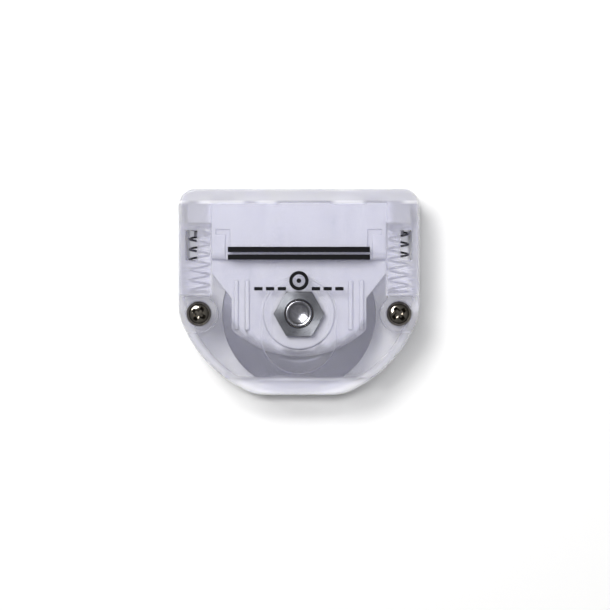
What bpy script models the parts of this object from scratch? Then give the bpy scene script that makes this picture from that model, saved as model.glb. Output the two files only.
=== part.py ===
"""A spring-loaded scoring-wheel cartridge for a paper trimmer, lying on its back.

+X is right, +Y is towards the cartridge's top edge, +Z is out of its front face.
The back face is at Z = 0, and X = Y = 0 is the middle of the casing.
Outlines are drawn about the wheel's axle, in millimetres turned into metres by MM.
"""

import math

import bmesh
import bpy

MM = 0.001

# Clearances
SEAT_GAP = 0.25 * MM        # between two pieces that rest on each other
SLIDE_GAP = 0.30 * MM       # between the carriage and the casing
BORE_GAP = 0.15 * MM        # all round a screw, bolt or dowel in its hole
RUN_GAP = 0.08 * MM         # between the turning bush and the axle

# Wheel, axle and what holds them
WHEEL_RADIUS = 14.0 * MM
WHEEL_THICKNESS = 2.0 * MM
WHEEL_EDGE = 0.7 * MM       # thickness of the blunt scoring edge
WHEEL_FACE_RADIUS = 9.0 * MM
TREAD_ANGLE = 75            # half the arc of the rounded edge, in degrees
WHEEL_RECESS = 0.6 * MM     # the wheel's edge sits this far inside the sole
BUSH_RADIUS = 3.6 * MM
AXLE_RADIUS = 2.4 * MM
AXLE_CUP_RADIUS = 1.8 * MM
AXLE_CUP_DEPTH = 0.9 * MM
AXLE_CHAMFER = 0.35 * MM
AXLE_PROUD = 0.1 * MM       # tip above the nut
BOLT_HEAD_RADIUS = 4.3 * MM
BOLT_HEAD_HEIGHT = 1.2 * MM
SPACER_RADIUS = 4.6 * MM
SPACER_THICKNESS = 0.5 * MM
NUT_ACROSS_FLATS = 8.0 * MM
NUT_HEIGHT = 1.5 * MM
NUT_CHAMFER = 0.35 * MM

# Sliding carriage
TRAVEL = 4.0 * MM
BACK_PLATE = 2.6 * MM
WEB = 1.4 * MM              # front plate where the hub is
BLOCK_RISE = 1.8 * MM       # how far the upper block stands above the web
HUB_RADIUS = 6.5 * MM
HUB_RISE = 0.55 * MM
WHEEL_ROOM = 0.6 * MM       # above the wheel's rim, under the bridge
BRIDGE_HEIGHT = 5.5 * MM
WING_HEIGHT = 3.7 * MM
BODY_MARGIN = 1.8 * MM      # body side beyond the wheel's rim
NECK_STEP = 3.6 * MM
SHOULDER_DROP = 4.5 * MM    # height of the slope from the body in to the neck
RIB_WIDTH = 0.7 * MM
RIB_RISE = 0.6 * MM
RIB_TOP = 6.0 * MM
RIB_BOTTOM = -2.9 * MM
RIB_INSETS = (0.5 * MM, 2.5 * MM)   # from the side of the neck
STEP_Y = 9.8 * MM           # lower edge of the upper block
CHIN = 1.3 * MM             # carriage below the hub
BELLY_SPREAD = 5.4 * MM
CARRIAGE_CORNER = 1.2 * MM
TAB_WIDTH = 3.6 * MM
TAB_X = 8.2 * MM
TAB_DEPTH = 3.4 * MM
TAB_RECESS = 0.35 * MM
DOWEL_RADIUS = 0.75 * MM
DOWEL_X = 8.9 * MM
DOWEL_RISE = 1.6 * MM       # dowel centre above the bridge's underside
DOWEL_BITE = 2.2 * MM       # into the front half
DOWEL_FLOOR = 1.4 * MM      # back plate left under a dowel
PEG_RADIUS = 1.0 * MM
PEG_LENGTH = 2.4 * MM
LEG_WIDTH = 0.9 * MM        # L-shaped corner grooves on the upper block
LEG_INNER_X = 12.4 * MM
LEG_FOOT = 2.6 * MM
LEG_RISE = 0.6 * MM         # groove's corner above the bridge's underside
LEG_DEPTH = 0.4 * MM

# Return springs
SPRING_RADIUS = 2.0 * MM
SPRING_WIRE = 0.2 * MM      # wire radius
SPRING_TURNS = 6
SPRING_STEPS = 12           # points in one turn
END_PITCH = 0.55 * MM

# Casing
WALL = 1.3 * MM
PLATE = 1.3 * MM
TOP_SPACE = 1.15 * MM       # between the carriage and the inner face of the top wall
STOP_WIDTH = 3.6 * MM
STOP_X = 13.5 * MM
CORNER_RADIUS = 3.0 * MM
ROUND_BULGE = 1.0 * MM      # lower curve's radius beyond the half width
SOLE_HALF_WIDTH = 7.55 * MM
SIDE_BLEND = 9.0 * MM
SOLE_BLEND = 8.0 * MM
EDGE_ROUND = 0.5 * MM
CHANNEL_DEPTH = 0.6 * MM
SCREW_INSET = 3.65 * MM
EAR_RADIUS = 3.3 * MM
EAR_DROP = 0.35 * MM        # ear pads sit this far below the front face
WINDOW_WIDTH = 2.1 * MM
WINDOW_HEIGHT = 5.4 * MM
WINDOW_DROP = 1.4 * MM      # window's top edge below the wing
SLOT_GAP = 0.4 * MM         # each side of the wheel in the sole slot
SLOT_MARGIN = 0.8 * MM      # slot beyond the wheel's rim at each end

# Casing screws
HEAD_RADIUS = 2.25 * MM
HEAD_HEIGHT = 1.35 * MM
HEAD_SINK = 0.1 * MM
SHANK_RADIUS = 1.15 * MM
SHANK_LENGTH = 8.2 * MM
SHANK_TIP = 0.9 * MM
SHANK_TIP_RADIUS = 0.4 * MM
HEAD_BRIM = 0.45 * MM       # straight part of the head's side
DOME_FULLNESS = 0.55        # below 1 makes the dome squarer than a ball
CROSS_LENGTH = 3.0 * MM
CROSS_WIDTH = 0.72 * MM
CROSS_DEPTH = 0.95 * MM
CROSS_TAPER = 0.45          # size of the recess at its floor against its mouth
CROSS_ANGLES = (45, 135)

# Facets
TURN_SEGMENTS = 40
WHEEL_SEGMENTS = 80
SMALL_SEGMENTS = 24
ARC_SEGMENTS = 20
CORNER_SEGMENTS = 6
RIM_SEGMENTS = 3
SPRING_WIRE_SEGMENTS = 2
SMOOTH_ANGLE = 32           # edges sharper than this stay sharp, in degrees
CUT_MARGIN = 1.0 * MM       # how far a cutter runs past what it cuts
FUSE = 0.2 * MM             # how deep a boss starts inside the wall it grows from
SAME = MM / 1000            # points closer than this count as one

# Levels above the back face, each stacked on the one before
BACK_LOW = PLATE + SLIDE_GAP
BACK_HIGH = BACK_LOW + BACK_PLATE
REAR_SPACER_LOW = BACK_HIGH + SEAT_GAP
WHEEL_LOW = REAR_SPACER_LOW + SPACER_THICKNESS + SEAT_GAP
WHEEL_HIGH = WHEEL_LOW + WHEEL_THICKNESS
FRONT_SPACER_LOW = WHEEL_HIGH + SEAT_GAP
WEB_LOW = FRONT_SPACER_LOW + SPACER_THICKNESS + SEAT_GAP
WEB_HIGH = WEB_LOW + WEB
BLOCK_HIGH = WEB_HIGH + BLOCK_RISE
HUB_HIGH = WEB_HIGH + HUB_RISE
NUT_LOW = HUB_HIGH + SEAT_GAP
NUT_HIGH = NUT_LOW + NUT_HEIGHT
FRONT_PLATE_LOW = BLOCK_HIGH + SLIDE_GAP
CASE_DEPTH = FRONT_PLATE_LOW + PLATE
SCREW_TOP = CASE_DEPTH - EAR_DROP - HEAD_SINK
MID_LEVEL = (WHEEL_LOW + WHEEL_HIGH) / 2

# Heights and widths about the axle
BRIDGE_Y = WHEEL_RADIUS + WHEEL_ROOM
CARRIAGE_TOP = BRIDGE_Y + BRIDGE_HEIGHT
WING_Y = CARRIAGE_TOP - WING_HEIGHT
CASE_TOP = CARRIAGE_TOP + TOP_SPACE + WALL
SOLE_Y = -(WHEEL_RADIUS + WHEEL_RECESS)
BODY_HALF = WHEEL_RADIUS + BODY_MARGIN
NECK_HALF = BODY_HALF - NECK_STEP
SPRING_X = BODY_HALF + SLIDE_GAP + SPRING_RADIUS
CASE_INNER = SPRING_X + SPRING_RADIUS + SLIDE_GAP
WING_HALF = CASE_INNER - SLIDE_GAP
CASE_HALF = CASE_INNER + WALL
ROUND_RADIUS = CASE_HALF + ROUND_BULGE
ROUND_Y = SOLE_Y + math.sqrt(ROUND_RADIUS ** 2 - SOLE_HALF_WIDTH ** 2)
SCREW_X = CASE_HALF - SCREW_INSET
SHELF_X = BODY_HALF + SLIDE_GAP
EAR_ROOT = CASE_INNER + WALL / 2
SHELF_Y = EAR_RADIUS
SHOULDER_Y = SHELF_Y + TRAVEL
AXLE_Y = -(CASE_TOP + SOLE_Y) / 2

axle = None


def clear_scene():
    for thing in list(bpy.data.objects):
        bpy.data.objects.remove(thing, do_unlink=True)


def plastic(name, colour, roughness, alpha):
    material = bpy.data.materials.new(name)
    material.use_nodes = True
    shader = material.node_tree.nodes["Principled BSDF"]
    shader.inputs["Base Color"].default_value = (*colour, 1)
    shader.inputs["Roughness"].default_value = roughness
    shader.inputs["Alpha"].default_value = alpha
    return material


def metal(name, colour, roughness):
    material = bpy.data.materials.new(name)
    material.use_nodes = True
    shader = material.node_tree.nodes["Principled BSDF"]
    shader.inputs["Base Color"].default_value = (*colour, 1)
    shader.inputs["Roughness"].default_value = roughness
    shader.inputs["Metallic"].default_value = 1
    return material


def arc(centre, radius, start, end, segments):
    """Points on a circle's arc, both ends included. Angles are in degrees."""
    turns = [math.radians(start + (end - start) * n / segments) for n in range(segments + 1)]
    return [(centre[0] + radius * math.cos(t), centre[1] + radius * math.sin(t)) for t in turns]


def mirrored(half):
    """A whole outline from its right half, which runs from the top down."""
    left = [(-x, y) for x, y in reversed(half) if x > SAME]
    return half + left


def line_to_circle(side, centre_y, radius, blend):
    """Centre of a blend inside a circle about (0, centre_y), touching the line X = side."""
    x = side - blend
    return x, centre_y - math.sqrt((radius - blend) ** 2 - x ** 2)


def casing_outline(inset):
    """The D-shaped casing, or what is left of it inside a wall."""
    side = CASE_HALF - inset
    top = CASE_TOP - inset
    sole = SOLE_Y + inset
    radius = ROUND_RADIUS - inset
    corner = CORNER_RADIUS - inset
    side_blend = SIDE_BLEND - inset
    sole_blend = SOLE_BLEND - inset
    upper = line_to_circle(side, ROUND_Y, radius, side_blend)
    drop = ROUND_Y - sole - sole_blend
    lower = (math.sqrt((radius - sole_blend) ** 2 - drop ** 2), sole + sole_blend)
    first = math.degrees(math.atan2(upper[1] - ROUND_Y, upper[0]))
    last = math.degrees(math.atan2(-drop, lower[0]))
    half = arc((side - corner, top - corner), corner, 90, 0, CORNER_SEGMENTS)
    half += arc(upper, side_blend, 0, first, CORNER_SEGMENTS)
    half += arc((0, ROUND_Y), radius, first, last, ARC_SEGMENTS)[1:]
    half += arc(lower, sole_blend, last, -90, CORNER_SEGMENTS)[1:]
    return mirrored(half)


def carriage_outline():
    """Wings over the springs, a body, a shoulder each side and a round belly under the hub."""
    belly_radius = NECK_HALF + BELLY_SPREAD
    belly_y = belly_radius - HUB_RADIUS - CHIN
    blend = line_to_circle(NECK_HALF, belly_y, belly_radius, CARRIAGE_CORNER)
    turn = math.degrees(math.atan2(blend[1] - belly_y, blend[0]))
    corner = (WING_HALF - CARRIAGE_CORNER, CARRIAGE_TOP - CARRIAGE_CORNER)
    half = arc(corner, CARRIAGE_CORNER, 90, 0, CORNER_SEGMENTS)
    half += [(WING_HALF, WING_Y), (BODY_HALF, WING_Y), (BODY_HALF, SHOULDER_Y)]
    half += [(NECK_HALF, SHOULDER_Y - SHOULDER_DROP)]
    half += arc(blend, CARRIAGE_CORNER, 0, turn, CORNER_SEGMENTS)
    half += arc((0, belly_y), belly_radius, turn, -90, ARC_SEGMENTS)[1:]
    return mirrored(half)


def rectangle(x_low, x_high, y_low, y_high):
    return [(x_low, y_low), (x_high, y_low), (x_high, y_high), (x_low, y_high)]


def stadium(radius, length):
    """The path of a disc that starts on the axle and moves down by a length."""
    return arc((0, 0), radius, 0, 180, ARC_SEGMENTS) + arc((0, -length), radius, 180, 360, ARC_SEGMENTS)


def ear_outline(side, outer_x):
    """A screw boss with a flat shelf on top for the spring, running out to the side."""
    notch = math.degrees(math.acos((SHELF_X - SCREW_X) / EAR_RADIUS))
    points = [(outer_x, SHELF_Y), (SHELF_X, SHELF_Y)]
    points += arc((SCREW_X, 0), EAR_RADIUS, notch, 270, ARC_SEGMENTS)
    reach = ROUND_RADIUS - CASE_HALF + outer_x
    root = math.sqrt(reach ** 2 - (ROUND_Y + EAR_RADIUS) ** 2)
    points += [(root, -EAR_RADIUS), (outer_x, ROUND_Y - math.sqrt(reach ** 2 - outer_x ** 2))]
    return [(side * x, y) for x, y in points]


def circle(radius, centre=(0, 0), segments=SMALL_SEGMENTS):
    return arc(centre, radius, 0, 360, segments)[:-1]


def hexagon(across_flats):
    return circle(across_flats / math.sqrt(3), segments=6)


def new_object(name, bm, material=None):
    bmesh.ops.recalc_face_normals(bm, faces=bm.faces)
    mesh = bpy.data.meshes.new(name)
    bm.to_mesh(mesh)
    bm.free()
    thing = bpy.data.objects.new(name, mesh)
    bpy.context.collection.objects.link(thing)
    thing.parent = axle
    if material:
        mesh.materials.append(material)
    return thing


def prism_mesh(outline, low, high):
    """A flat outline made solid between two levels."""
    bm = bmesh.new()
    base = bm.faces.new([bm.verts.new((x, y, low)) for x, y in outline])
    lifted = bmesh.ops.extrude_face_region(bm, geom=[base])["geom"]
    moved = [v for v in lifted if isinstance(v, bmesh.types.BMVert)]
    bmesh.ops.translate(bm, vec=(0, 0, high - low), verts=moved)
    return bm


def round_rim(bm, level, width):
    """Rounds the edges that lie in one level."""
    rim = [e for e in bm.edges if all(abs(v.co.z - level) < SAME for v in e.verts)]
    bmesh.ops.bevel(bm, geom=rim, offset=width, segments=RIM_SEGMENTS, profile=0.5, affect="EDGES")


def turned_mesh(profile, segments):
    """A profile of (radius, level) pairs spun about the Z axis. It starts and ends on the axis,
    or ends where it began when it makes a ring."""
    bm = bmesh.new()
    points = [bm.verts.new((radius, 0, level)) for radius, level in profile]
    edges = [bm.edges.new(pair) for pair in zip(points, points[1:])]
    if profile[0][0] > 0:
        edges.append(bm.edges.new((points[-1], points[0])))
    bmesh.ops.spin(
        bm, geom=points + edges, cent=(0, 0, 0), axis=(0, 0, 1), angle=math.tau, steps=segments
    )
    bmesh.ops.remove_doubles(bm, verts=bm.verts, dist=SAME)
    return bm


def boolean(target, tool, operation):
    tool.hide_render = True
    tool.display_type = "WIRE"
    change = target.modifiers.new(tool.name, "BOOLEAN")
    change.operation = operation
    change.object = tool
    return tool


def cut(target, name, outline, low, high):
    return boolean(target, new_object(name, prism_mesh(outline, low, high)), "DIFFERENCE")


def fuse(target, name, outline, low, high):
    return boolean(target, new_object(name, prism_mesh(outline, low, high)), "UNION")


def smooth(thing):
    thing.data.shade_smooth()
    thing.data.set_sharp_from_angle(angle=math.radians(SMOOTH_ANGLE))


def cut_sole_slot(shell, name):
    """The slot that the wheel drops through. It reaches as far as the lowered wheel meets the wall."""
    inner = ROUND_RADIUS - WALL
    rise = ROUND_Y + TRAVEL
    meet_y = (ROUND_Y ** 2 - TRAVEL ** 2 - inner ** 2 + WHEEL_RADIUS ** 2) / (2 * rise)
    half = math.sqrt(WHEEL_RADIUS ** 2 - (meet_y + TRAVEL) ** 2) + SLOT_MARGIN
    outline = rectangle(-half, half, SOLE_Y - CUT_MARGIN, meet_y + WALL)
    cut(shell, name, outline, WHEEL_LOW - SLOT_GAP, WHEEL_HIGH + SLOT_GAP)


def fuse_sole_block(shell, name, low, high):
    """A thick bar across the sole, just clear of the lowered carriage."""
    top = -(HUB_RADIUS + CHIN + TRAVEL + SLIDE_GAP)
    half = math.sqrt((ROUND_RADIUS - WALL) ** 2 - (ROUND_Y - top) ** 2) + FUSE
    base = SOLE_Y + WALL / 2
    outline = [(-SOLE_HALF_WIDTH, base), (SOLE_HALF_WIDTH, base), (half, top), (-half, top)]
    fuse(shell, name, outline, low, high)


def cut_tab_slots(shell, name):
    half = TAB_WIDTH / 2 + SLIDE_GAP
    for side, word in ((-1, "left"), (1, "right")):
        outline = rectangle(
            side * TAB_X - half, side * TAB_X + half, CARRIAGE_TOP + SLIDE_GAP, CASE_TOP + CUT_MARGIN
        )
        low = MID_LEVEL - TAB_DEPTH / 2 - SLIDE_GAP
        cut(shell, f"{name}_{word}", outline, low, low + TAB_DEPTH + 2 * SLIDE_GAP)


def make_front_shell(material):
    """Front half: plate, rim wall, ears with screw seats, spring windows and a channel for the nut."""
    bm = prism_mesh(casing_outline(0), MID_LEVEL + SEAT_GAP / 2, CASE_DEPTH)
    round_rim(bm, CASE_DEPTH, EDGE_ROUND)
    shell = new_object("front_shell", bm, material)
    cut(shell, "front_hollow", casing_outline(WALL), 0, FRONT_PLATE_LOW)
    parting = MID_LEVEL + SEAT_GAP / 2
    for side, word in ((-1, "left"), (1, "right")):
        fuse(shell, f"front_ear_{word}", ear_outline(side, EAR_ROOT), parting, FRONT_PLATE_LOW + FUSE)
        x = side * STOP_X
        stop = rectangle(
            x - STOP_WIDTH / 2, x + STOP_WIDTH / 2, CARRIAGE_TOP + SLIDE_GAP, CASE_TOP - WALL + FUSE
        )
        fuse(shell, f"front_stop_{word}", stop, parting + FUSE, FRONT_PLATE_LOW + FUSE)
    for side, word in ((-1, "left"), (1, "right")):
        centre = (side * SCREW_X, 0)
        pad = ear_outline(side, CASE_HALF + CUT_MARGIN)
        cut(shell, f"ear_pad_{word}", pad, CASE_DEPTH - EAR_DROP, CASE_DEPTH + CUT_MARGIN)
        seat_low = SCREW_TOP - HEAD_HEIGHT - SEAT_GAP
        seat = circle(HEAD_RADIUS + BORE_GAP, centre)
        cut(shell, f"screw_seat_{word}", seat, seat_low, CASE_DEPTH + CUT_MARGIN)
        cut(shell, f"screw_hole_{word}", circle(SHANK_RADIUS + BORE_GAP, centre), 0, CASE_DEPTH)
        edge = side * (CASE_INNER - WINDOW_WIDTH)
        window_top = WING_Y - WINDOW_DROP
        window = rectangle(*sorted((edge, side * CASE_INNER)), window_top - WINDOW_HEIGHT, window_top)
        cut(shell, f"spring_window_{word}", window, FRONT_PLATE_LOW - FUSE, CASE_DEPTH + CUT_MARGIN)
    fuse_sole_block(shell, "front_sole_block", WHEEL_HIGH + SLOT_GAP, FRONT_PLATE_LOW + FUSE)
    channel = stadium(HUB_RADIUS + SLIDE_GAP, TRAVEL)
    cut(shell, "nut_channel", channel, FRONT_PLATE_LOW - FUSE, FRONT_PLATE_LOW + CHANNEL_DEPTH)
    cut_sole_slot(shell, "front_sole_slot")
    cut_tab_slots(shell, "front_tab_slot")
    return shell


def make_rear_shell(material):
    """Back half: plate, rim wall and the two bosses that the screws bite into."""
    bm = prism_mesh(casing_outline(0), 0, MID_LEVEL - SEAT_GAP / 2)
    round_rim(bm, 0, EDGE_ROUND)
    shell = new_object("rear_shell", bm, material)
    cut(shell, "rear_hollow", casing_outline(WALL), PLATE, CASE_DEPTH)
    parting = MID_LEVEL - SEAT_GAP / 2
    for side, word in ((-1, "left"), (1, "right")):
        fuse(shell, f"rear_ear_{word}", ear_outline(side, EAR_ROOT), PLATE - FUSE, parting)
    fuse_sole_block(shell, "rear_sole_block", PLATE - FUSE, WHEEL_LOW - SLOT_GAP)
    for side, word in ((-1, "left"), (1, "right")):
        pilot = circle(SHANK_RADIUS + BORE_GAP, (side * SCREW_X, 0))
        cut(shell, f"pilot_hole_{word}", pilot, PLATE, CASE_DEPTH)
    cut_sole_slot(shell, "rear_sole_slot")
    cut_tab_slots(shell, "rear_tab_slot")
    return shell


def make_carriage_front(material):
    """Front of the fork: bridge over the wheel, upper block, side ribs, hub and push tabs."""
    block = new_object("carriage_front", prism_mesh(carriage_outline(), WEB_LOW, BLOCK_HIGH), material)
    lower = rectangle(-CASE_HALF, CASE_HALF, SOLE_Y, STEP_Y)
    cut(block, "lower_face", lower, WEB_HIGH, CASE_DEPTH)
    fuse(block, "hub", circle(HUB_RADIUS, segments=TURN_SEGMENTS), WEB_HIGH - FUSE, HUB_HIGH)
    bridge_low = BACK_HIGH + SEAT_GAP
    bar_half = WING_HALF - CARRIAGE_CORNER
    bar = rectangle(-bar_half, bar_half, WING_Y, CARRIAGE_TOP)
    fuse(block, "wing_bar", bar, bridge_low, WEB_LOW + FUSE)
    bridge = rectangle(-BODY_HALF, BODY_HALF, BRIDGE_Y, WING_Y + FUSE)
    fuse(block, "bridge", bridge, bridge_low, WEB_LOW + FUSE)
    for side, word in ((-1, "left"), (1, "right")):
        x = side * TAB_X
        tab = rectangle(
            x - TAB_WIDTH / 2, x + TAB_WIDTH / 2, CARRIAGE_TOP - FUSE, CASE_TOP - TAB_RECESS
        )
        low = MID_LEVEL - TAB_DEPTH / 2
        fuse(block, f"push_tab_{word}", tab, low, low + TAB_DEPTH)
        peg = new_object(f"spring_peg_{word}", prism_mesh(circle(PEG_RADIUS), 0, PEG_LENGTH + FUSE))
        peg.rotation_euler = (math.pi / 2, 0, 0)
        peg.location = (side * SPRING_X, WING_Y + FUSE, MID_LEVEL)
        boolean(block, peg, "UNION")
        corner_y = BRIDGE_Y + LEG_RISE
        leg_x = sorted((side * LEG_INNER_X, side * (LEG_INNER_X + LEG_WIDTH)))
        leg = rectangle(*leg_x, STEP_Y - CUT_MARGIN, corner_y)
        cut(block, f"leg_groove_{word}", leg, BLOCK_HIGH - LEG_DEPTH, CASE_DEPTH)
        foot_x = sorted((side * (LEG_INNER_X + LEG_WIDTH / 2), side * (LEG_INNER_X + LEG_FOOT)))
        foot = rectangle(*foot_x, corner_y - LEG_WIDTH, corner_y)
        cut(block, f"foot_groove_{word}", foot, BLOCK_HIGH - LEG_DEPTH, CASE_DEPTH)
        for number, inset in enumerate(RIB_INSETS):
            rib_x = sorted((side * (NECK_HALF - inset), side * (NECK_HALF - inset - RIB_WIDTH)))
            rib = rectangle(*rib_x, RIB_BOTTOM, RIB_TOP)
            fuse(block, f"rib_{word}_{number}", rib, WEB_HIGH - FUSE, WEB_HIGH + RIB_RISE)
        dowel = circle(DOWEL_RADIUS + BORE_GAP, (side * DOWEL_X, BRIDGE_Y + DOWEL_RISE))
        cut(block, f"front_dowel_hole_{word}", dowel, 0, BACK_HIGH + DOWEL_BITE + SEAT_GAP)
    cut(block, "front_axle_hole", circle(AXLE_RADIUS + BORE_GAP), 0, CASE_DEPTH)
    return block


def make_carriage_back(material):
    """Back of the fork: a flat plate with a seat for the bolt head."""
    plate = new_object("carriage_back", prism_mesh(carriage_outline(), BACK_LOW, BACK_HIGH), material)
    seat = circle(BOLT_HEAD_RADIUS + BORE_GAP, segments=TURN_SEGMENTS)
    cut(plate, "bolt_head_seat", seat, 0, BACK_LOW + BOLT_HEAD_HEIGHT + SEAT_GAP)
    cut(plate, "back_axle_hole", circle(AXLE_RADIUS + BORE_GAP), 0, CASE_DEPTH)
    for side, word in ((-1, "left"), (1, "right")):
        dowel = circle(DOWEL_RADIUS + BORE_GAP, (side * DOWEL_X, BRIDGE_Y + DOWEL_RISE))
        cut(plate, f"back_dowel_hole_{word}", dowel, BACK_LOW + DOWEL_FLOOR, CASE_DEPTH)
    return plate


def make_dowel(word, side, material):
    """A short pin that lines the two halves of the fork up."""
    low = BACK_LOW + DOWEL_FLOOR + SEAT_GAP
    high = BACK_HIGH + DOWEL_BITE
    dowel = new_object(f"dowel_{word}", prism_mesh(circle(DOWEL_RADIUS), low, high), material)
    dowel.location = (side * DOWEL_X, BRIDGE_Y + DOWEL_RISE, 0)
    smooth(dowel)


def make_wheel(material):
    """A flat-faced disc that tapers to a blunt, rounded scoring edge."""
    bore = BUSH_RADIUS + RUN_GAP
    edge = WHEEL_EDGE / 2
    centre = (WHEEL_RADIUS - edge, MID_LEVEL)
    tread = arc(centre, edge, -TREAD_ANGLE, TREAD_ANGLE, CORNER_SEGMENTS)
    profile = [(bore, WHEEL_LOW), (WHEEL_FACE_RADIUS, WHEEL_LOW), *tread]
    profile += [(WHEEL_FACE_RADIUS, WHEEL_HIGH), (bore, WHEEL_HIGH)]
    smooth(new_object("scoring_wheel", turned_mesh(profile, WHEEL_SEGMENTS), material))


def ring(name, inner, outer, low, high, material):
    profile = [(inner, low), (outer, low), (outer, high), (inner, high)]
    smooth(new_object(name, turned_mesh(profile, TURN_SEGMENTS), material))


def make_axle_bolt(material):
    """A plain-shanked bolt: low round head at the back, chamfered tip with a polished cup."""
    head_low = BACK_LOW
    head_high = head_low + BOLT_HEAD_HEIGHT
    tip = NUT_HIGH + AXLE_PROUD
    profile = [(0, head_low), (BOLT_HEAD_RADIUS - AXLE_CHAMFER, head_low)]
    profile += [(BOLT_HEAD_RADIUS, head_low + AXLE_CHAMFER), (BOLT_HEAD_RADIUS, head_high)]
    profile += [(AXLE_RADIUS, head_high), (AXLE_RADIUS, tip - AXLE_CHAMFER)]
    profile += [(AXLE_RADIUS - AXLE_CHAMFER, tip)]
    for n in range(CORNER_SEGMENTS + 1):
        share = 1 - n / CORNER_SEGMENTS
        profile.append((AXLE_CUP_RADIUS * share, tip - AXLE_CUP_DEPTH * (1 - share ** 2)))
    smooth(new_object("axle_bolt", turned_mesh(profile, TURN_SEGMENTS), material))


def make_axle_nut(material):
    """A thin hexagon nut with its flats level, corners knocked off by a cone at both faces."""
    nut = new_object("axle_nut", prism_mesh(hexagon(NUT_ACROSS_FLATS), NUT_LOW, NUT_HIGH), material)
    flat = NUT_ACROSS_FLATS / 2
    corner = NUT_ACROSS_FLATS / math.sqrt(3) + NUT_CHAMFER
    profile = [(0, NUT_LOW - MM), (flat - NUT_CHAMFER, NUT_LOW - MM), (flat, NUT_LOW)]
    profile += [(corner, NUT_LOW + NUT_CHAMFER), (corner, NUT_HIGH - NUT_CHAMFER)]
    profile += [(flat, NUT_HIGH), (flat - NUT_CHAMFER, NUT_HIGH + MM), (0, NUT_HIGH + MM)]
    boolean(nut, new_object("nut_cone", turned_mesh(profile, TURN_SEGMENTS)), "INTERSECT")
    cut(nut, "nut_bore", circle(AXLE_RADIUS + BORE_GAP, segments=TURN_SEGMENTS), 0, CASE_DEPTH)


def make_screw(word, side, material):
    """A pan-head screw with a cross recess."""
    seat = SCREW_TOP - HEAD_HEIGHT
    tip = seat - SHANK_LENGTH
    profile = [(0, tip), (SHANK_TIP_RADIUS, tip), (SHANK_RADIUS, tip + SHANK_TIP)]
    profile += [(SHANK_RADIUS, seat), (HEAD_RADIUS, seat)]
    for n in range(CORNER_SEGMENTS):
        turn = math.radians(90 * n / CORNER_SEGMENTS)
        radius = HEAD_RADIUS * math.cos(turn) ** DOME_FULLNESS
        profile.append((radius, seat + HEAD_BRIM + (HEAD_HEIGHT - HEAD_BRIM) * math.sin(turn)))
    profile.append((0, SCREW_TOP))
    screw = new_object(f"screw_{word}", turned_mesh(profile, TURN_SEGMENTS), material)
    screw.location = (side * SCREW_X, 0, 0)
    for angle in CROSS_ANGLES:
        slot = rectangle(-CROSS_LENGTH / 2, CROSS_LENGTH / 2, -CROSS_WIDTH / 2, CROSS_WIDTH / 2)
        bm = prism_mesh(slot, SCREW_TOP - CROSS_DEPTH, SCREW_TOP + FUSE)
        floor = [v for v in bm.verts if v.co.z < SCREW_TOP]
        bmesh.ops.scale(bm, vec=(CROSS_TAPER, CROSS_TAPER, 1), verts=floor)
        tool = new_object(f"cross_{angle}_{word}", bm)
        tool.location = screw.location
        tool.rotation_euler = (0, 0, math.radians(angle))
        boolean(screw, tool, "DIFFERENCE")
    smooth(screw)


def spring_points(low, high):
    """A coil along Y with one close turn at each end and even turns between."""
    radius = SPRING_RADIUS - SPRING_WIRE
    total = SPRING_TURNS + 2
    pitch = (high - low - 2 * END_PITCH) / SPRING_TURNS
    points = []
    for n in range(total * SPRING_STEPS + 1):
        turns = n / SPRING_STEPS
        middle = min(max(turns - 1, 0), SPRING_TURNS)
        ends = turns - middle
        y = low + END_PITCH * ends + pitch * middle
        angle = math.tau * turns
        points.append((radius * math.cos(angle), y, radius * math.sin(angle)))
    return points


def make_spring(word, side, material):
    """A compression spring between the ear's shelf and the carriage's wing."""
    margin = SEAT_GAP + SPRING_WIRE
    points = spring_points(SHELF_Y + margin, WING_Y - margin)
    curve = bpy.data.curves.new(f"spring_{word}", "CURVE")
    curve.dimensions = "3D"
    curve.bevel_depth = SPRING_WIRE
    curve.bevel_resolution = SPRING_WIRE_SEGMENTS
    curve.use_fill_caps = True
    line = curve.splines.new("POLY")
    line.points.add(len(points) - 1)
    for point, place in zip(line.points, points):
        point.co = (*place, 1)
    curve.materials.append(material)
    spring = bpy.data.objects.new(f"spring_{word}", curve)
    bpy.context.collection.objects.link(spring)
    spring.parent = axle
    spring.location = (side * SPRING_X, 0, MID_LEVEL)


def main():
    global axle
    clear_scene()
    axle = bpy.data.objects.new("axle_centre", None)
    bpy.context.collection.objects.link(axle)
    axle.location = (0, AXLE_Y, 0)

    clear = plastic("clear_casing", (0.80, 0.80, 0.87), 0.12, 0.45)
    frosted = plastic("frosted_carriage", (0.78, 0.78, 0.86), 0.45, 0.8)
    wheel_steel = metal("wheel_steel", (0.22, 0.22, 0.27), 0.35)
    nickel = metal("nickel_screw", (0.62, 0.60, 0.57), 0.12)
    zinc = metal("zinc_nut", (0.58, 0.59, 0.62), 0.35)
    spring_steel = metal("spring_steel", (0.45, 0.46, 0.48), 0.3)
    bronze = metal("bush_bronze", (0.55, 0.40, 0.22), 0.4)

    make_front_shell(clear)
    make_rear_shell(clear)
    make_carriage_front(frosted)
    make_carriage_back(frosted)
    make_wheel(wheel_steel)
    ring("wheel_bush", AXLE_RADIUS + RUN_GAP, BUSH_RADIUS, WHEEL_LOW, WHEEL_HIGH, bronze)
    spacer_bore = AXLE_RADIUS + BORE_GAP
    for name, low in (("rear_spacer", REAR_SPACER_LOW), ("front_spacer", FRONT_SPACER_LOW)):
        ring(name, spacer_bore, SPACER_RADIUS, low, low + SPACER_THICKNESS, zinc)
    make_axle_bolt(zinc)
    make_axle_nut(zinc)
    for side, word in ((-1, "left"), (1, "right")):
        make_screw(word, side, nickel)
        make_spring(word, side, spring_steel)
        make_dowel(word, side, zinc)


main()
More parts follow.
